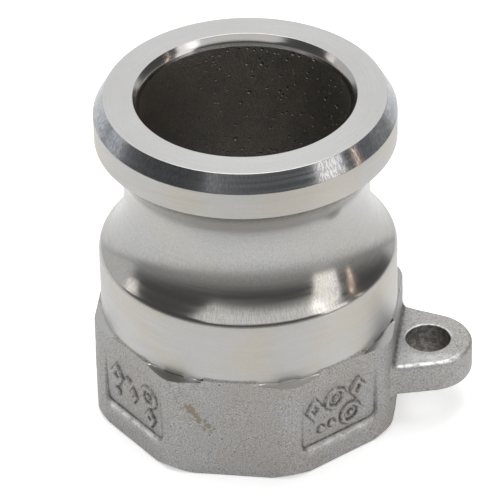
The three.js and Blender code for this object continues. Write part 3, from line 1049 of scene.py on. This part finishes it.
def studio_direction(azimuth, elevation):
    """Unit vector from the object towards a place in the studio. Azimuth turns to the right of the
    camera's own, elevation is above the horizon, both in degrees."""
    a = math.radians(VIEW_AZIMUTH + azimuth)
    e = math.radians(elevation)
    return Vector((math.sin(a) * math.cos(e), -math.cos(a) * math.cos(e), math.sin(e)))


def camera():
    """Long lens that looks down on the piece from in front, a little to the right."""
    data = bpy.data.cameras.new("camera")
    data.lens = LENS
    data.clip_start, data.clip_end = 0.01, 20
    eye = bpy.data.objects.new("camera", data)
    bpy.context.scene.collection.objects.link(eye)
    back = studio_direction(0, VIEW_ELEVATION)
    stand = Vector(VIEW_PIVOT) + back * VIEW_DISTANCE
    turn = (Vector(VIEW_AIM) - stand).to_track_quat("-Z", "Y").to_matrix().to_4x4()
    eye.matrix_world = (Matrix.Translation(stand * MM) @ turn
                        @ Matrix.Rotation(math.radians(VIEW_ROLL), 4, "Z"))
    bpy.context.scene.camera = eye


def softbox(name, azimuth, elevation, width, height, radiance, colour=(1, 1, 1), soft=(0.3, 0.3),
            distance=1100):
    """Rectangular light that faces the piece. It fades towards its edges over the soft shares of its
    half width and half height."""
    data = bpy.data.lights.new(name, "AREA")
    data.shape = "RECTANGLE"
    data.size, data.size_y = width * MM, height * MM
    data.energy = radiance * math.pi * data.size * data.size_y
    data.color = colour
    data.use_nodes = True
    nodes = Nodes(data.node_tree)
    across = nodes.node("NewGeometry").outputs["Parametric"]
    sides = nodes.node("SeparateXYZ", {0: across})
    fades = [nodes.span(nodes.math("PINGPONG", sides.outputs[axis], 0.5), 0, share / 2)
             for axis, share in zip("XY", soft)]
    emission = data.node_tree.nodes["Emission"]
    nodes.feed(emission.inputs["Strength"], nodes.math("MULTIPLY", *fades))
    light = bpy.data.objects.new(name, data)
    bpy.context.scene.collection.objects.link(light)
    away = studio_direction(azimuth, elevation)
    light.matrix_world = (Matrix.Translation((Vector(LIGHTS_AIM) + away * distance) * MM)
                          @ away.to_track_quat("Z", "Y").to_matrix().to_4x4())


def world():
    """White to the camera. In reflections the part of the room behind the piece is bright and the
    rest is dim, with a paler band along the floor."""
    sky = bpy.data.worlds.new("studio")
    bpy.context.scene.world = sky
    sky.use_nodes = True
    sky.node_tree.nodes.clear()
    nodes = Nodes(sky.node_tree)
    towards = nodes.node("TexCoord").outputs["Generated"]
    level = nodes.vector("NORMALIZE", nodes.vector("MULTIPLY", towards, (1, 1, 0)))
    behind = nodes.vector("DOT_PRODUCT", level, studio_direction(BRIGHT_ROOM_AZIMUTH, 0))
    dim_from, bright_from = (math.cos(math.radians(BRIGHT_ROOM_HALF_ANGLE + edge))
                             for edge in (BRIGHT_ROOM_EDGE, -BRIGHT_ROOM_EDGE))
    share = nodes.span(behind, dim_from, bright_from)
    height = nodes.node("SeparateXYZ", {0: towards}).outputs["Z"]
    dim = room_colour(nodes, height, DIM_ROOM_LEVELS)
    bright = room_colour(nodes, height, BRIGHT_ROOM_LEVELS)
    room = nodes.node("Background", {"Color": nodes.blend(share, dim, bright)}).outputs[0]
    white = nodes.node("Background").outputs[0]
    is_camera = nodes.node("LightPath").outputs["Is Camera Ray"]
    seen = nodes.node("MixShader", {"Fac": is_camera, 1: room, 2: white}).outputs[0]
    nodes.node("OutputWorld", {"Surface": seen})


def room_colour(nodes, height, levels):
    """The room's colour from its (elevation, brightness) pairs."""
    ramp = nodes.node("ValToRGB", {"Fac": height})
    stops = ramp.color_ramp.elements
    for index, (elevation, level) in enumerate(levels):
        stop = stops[index] if index < 2 else stops.new(1)
        stop.position = math.sin(math.radians(elevation))
        stop.color = (*(level * part for part in ROOM_TINT), 1)
    return ramp.outputs["Color"]


def floor():
    """Pale table. In reflections it glows faintly and darkens away from the piece, a painted pool of
    light, and to the camera it glows a little, like a lit sheet."""
    rim = [direction(2 * math.pi * i / FLOOR_SIDES) * FLOOR_RADIUS for i in range(FLOOR_SIDES)]
    points = np.array([(x, y, -FLOOR_GAP) for x, y in rim]) * MM
    mesh = bpy.data.meshes.new("floor")
    mesh.from_pydata(points.tolist(), [], [tuple(range(FLOOR_SIDES))])
    table = bpy.data.objects.new("floor", mesh)
    bpy.context.scene.collection.objects.link(table)
    shader = Shader("floor")
    ray = shader.node("LightPath").outputs
    away = shader.vector("LENGTH", shader.place)
    ahead = shader.vector("DOT_PRODUCT", shader.place, studio_direction(BRIGHT_ROOM_AZIMUTH + 180, 0))
    # Painted pool of light seen in reflections: the floor's colour and glow fade away from the piece.
    fade = shader.span(shader.math("ADD", away, ahead), *FLOOR_FADE_DISTANCES, 1.0, FLOOR_FADE_SHARE)
    level = shader.mix(ray["Is Glossy Ray"], FLOOR_LEVEL,
                       shader.math("MULTIPLY", fade, FLOOR_LEVEL_IN_REFLECTIONS))
    glow = shader.mix(ray["Is Camera Ray"], shader.math("MULTIPLY", fade, FLOOR_GLOW_IN_REFLECTIONS),
                      FLOOR_GLOW)
    grey = shader.node("CombineColor", {"Red": level, "Green": level, "Blue": level}).outputs[0]
    shader.feed(shader.surface.inputs["Specular IOR Level"], 0.1)
    shader.feed(shader.surface.inputs["Emission Color"], (1, 1, 1, 1))
    shader.feed(shader.surface.inputs["Emission Strength"], glow)
    mesh.materials.append(shader.finish(grey, 0.7, shader.bump(shader.noise(2.5, 3.0), 0.01), 0.0))


def lights():
    """Name, azimuth, elevation, width, height, radiance, colour and softness of each light."""
    softbox("over_camera", 12, 57, 2000, 1320, 0.88, soft=(0.2, 0.6))
    softbox("overhead", 180, 82, 1300, 1100, 2.4, distance=1200)
    softbox("right_panel", 63, 22, 470, 960, 1.45, (1.0, 0.955, 0.925))
    softbox("copper_strip", 85, 17, 55, 560, 2.5, (1.0, 0.76, 0.6), soft=(0.6, 0.3))
    softbox("left_panel", -98, 23, 200, 360, 1.1, (1.0, 0.95, 0.94))


steel_materials()
piece = adapter_casting()
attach(piece, "root")
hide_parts(NODE)
camera()
world()
floor()
lights()
bpy.context.scene.view_settings.view_transform = "Standard"
